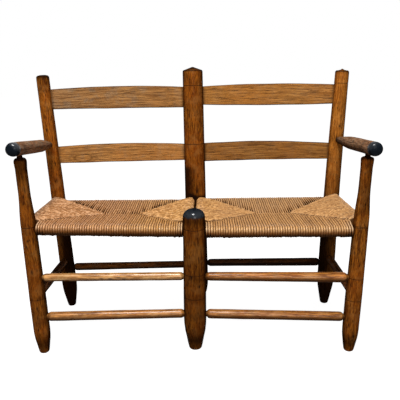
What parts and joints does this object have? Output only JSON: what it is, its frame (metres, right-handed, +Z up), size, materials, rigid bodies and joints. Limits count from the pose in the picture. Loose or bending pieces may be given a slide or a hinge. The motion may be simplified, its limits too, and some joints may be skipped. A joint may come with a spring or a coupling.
{
  "type": "double ladder-back bench",
  "caption": "Low two-place porch bench with turned posts and rungs, a slatted ladder back, round arms and two woven rush seats.",
  "frame": {"origin": "on the floor, in the middle of the bench's overall width and depth", "axes": "+X to the right as seen from the front, along the bench; +Y to the back; +Z up"},
  "size_m": [1.031, 0.4326, 0.8385],
  "materials": {
    "post_wood": "warm brown turned wood, waxed and worn",
    "slat_wood": "light tan wood with straight grain, waxed",
    "arm_wood": "weathered grey brown wood with near-black painted ends",
    "front_rung_wood": "honey wood, rubbed and polished",
    "dark_rung_wood": "dark aged wood, matt",
    "rail_wood": "bare wood, hidden by the rush",
    "rush": "woven rush, dry and matt"
  },
  "bodies": {
    "root": {"front_post_left": "post_wood", "front_post_center": "post_wood", "front_post_right": "post_wood", "rear_post_left": "post_wood", "rear_post_center": "post_wood", "rear_post_right": "post_wood", "arm_left": "arm_wood", "arm_right": "arm_wood", "upper_slat_left": "slat_wood", "upper_slat_right": "slat_wood", "lower_slat_left": "slat_wood", "lower_slat_right": "slat_wood", "front_lower_rung_left": "front_rung_wood", "front_lower_rung_right": "front_rung_wood", "front_upper_rung_left": "front_rung_wood", "front_upper_rung_right": "front_rung_wood", "rear_rung_left": "dark_rung_wood", "rear_rung_right": "dark_rung_wood", "side_rung_left": "dark_rung_wood", "side_rung_center": "dark_rung_wood", "side_rung_right": "dark_rung_wood", "front_seat_rail_left": "rail_wood", "front_seat_rail_right": "rail_wood", "rear_seat_rail_left": "rail_wood", "rear_seat_rail_right": "rail_wood", "outer_seat_rail_left": "rail_wood", "outer_seat_rail_right": "rail_wood", "inner_seat_rail_left": "rail_wood", "inner_seat_rail_right": "rail_wood", "rush_seat_left": "rush", "rush_seat_right": "rush"}
  },
  "joints": []
}
